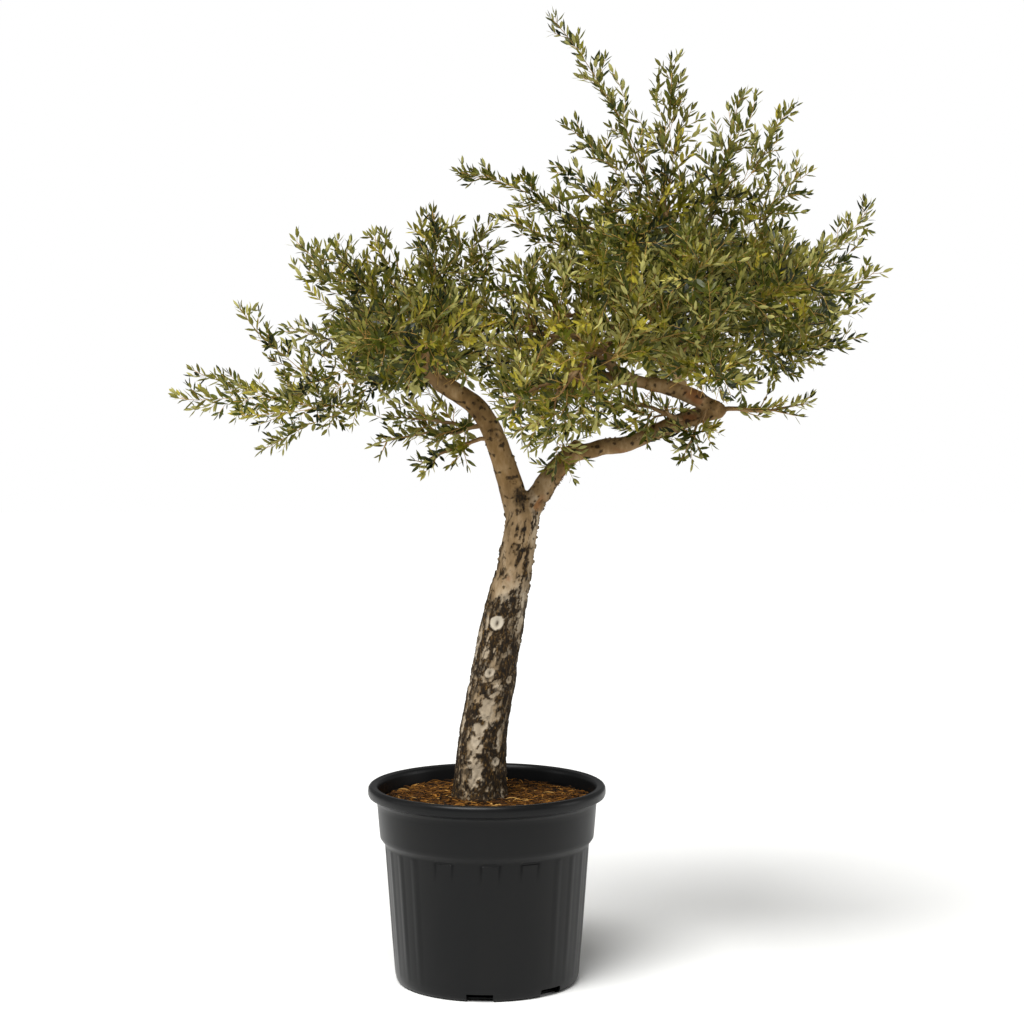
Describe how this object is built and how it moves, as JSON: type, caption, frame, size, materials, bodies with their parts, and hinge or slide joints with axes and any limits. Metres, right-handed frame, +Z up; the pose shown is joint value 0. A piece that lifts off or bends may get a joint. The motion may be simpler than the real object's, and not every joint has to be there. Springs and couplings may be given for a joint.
{
  "type": "potted olive tree",
  "caption": "Young olive tree with a leaning trunk that forks into two limbs, an open uneven head of narrow leaves, in a round plastic nursery pot.",
  "frame": {"origin": "centre of the pot's flat underside, on the ground", "axes": "+Z up along the pot's axis; +X towards the side that the trunk leans to and its longer limb reaches; -Y is the front, the side first seen"},
  "size_m": [1.765, 0.9349, 2.4092],
  "materials": {
    "pot": "dark charcoal moulded plastic, satin",
    "soil": "rough orange-brown bark and coir mulch",
    "trunk_bark": "rough grey-brown bark with pale smooth patches",
    "limb_bark": "smoother tan bark",
    "foliage_olive": "dull olive-green leaves",
    "foliage_green": "lighter olive-green leaves",
    "foliage_dark": "dark olive-green leaves",
    "foliage_pale": "pale yellow-green leaves"
  },
  "bodies": {
    "root": {"pot": "pot", "soil": "soil", "trunk": "trunk_bark", "left_limb": "limb_bark", "right_limb_rise": "limb_bark", "right_limb_reach": "limb_bark", "right_limb_return": "limb_bark", "left_heart": "foliage_green", "left_heart_top": "foliage_dark", "left_heart_low": "foliage_pale", "left_heart_front": "foliage_olive", "left_heart_back": "foliage_green", "middle_heart": "foliage_dark", "right_heart": "foliage_pale", "right_heart_side": "foliage_olive", "right_heart_front": "foliage_green", "right_heart_back": "foliage_dark", "right_heart_inner": "foliage_pale", "fork_front": "foliage_olive", "fork_back": "foliage_green", "left_reach": "foliage_dark", "left_reach_upper": "foliage_pale", "left_reach_low": "foliage_olive", "left_outer": "foliage_green", "left_outer_upper": "foliage_dark", "left_shoulder": "foliage_pale", "left_crest": "foliage_olive", "left_rise": "foliage_green", "left_top": "foliage_dark", "left_inner": "foliage_pale", "left_droop": "foliage_olive", "crest_long": "foliage_green", "crest": "foliage_dark", "crest_right": "foliage_pale", "right_high": "foliage_olive", "right_shoulder": "foliage_green", "right_side_high": "foliage_dark", "right_side": "foliage_pale", "right_side_low": "foliage_olive", "right_side_edge": "foliage_green", "right_under": "foliage_dark", "inner_high": "foliage_pale", "inner_middle": "foliage_olive", "inner_long": "foliage_green", "inner_low": "foliage_dark", "elbow_fill": "foliage_pale", "right_low_reach": "foliage_olive", "right_tuft": "foliage_green", "left_under": "foliage_dark", "left_droop_middle": "foliage_pale", "left_droop_inner": "foliage_olive", "fork_tuft": "foliage_green", "left_spread_back": "foliage_dark", "left_spread_front": "foliage_pale", "right_spread_back": "foliage_olive", "right_spread_front": "foliage_green", "right_span_back": "foliage_dark", "right_span_front": "foliage_pale", "right_skirt_back": "foliage_olive", "right_skirt_front": "foliage_green"}
  },
  "joints": []
}
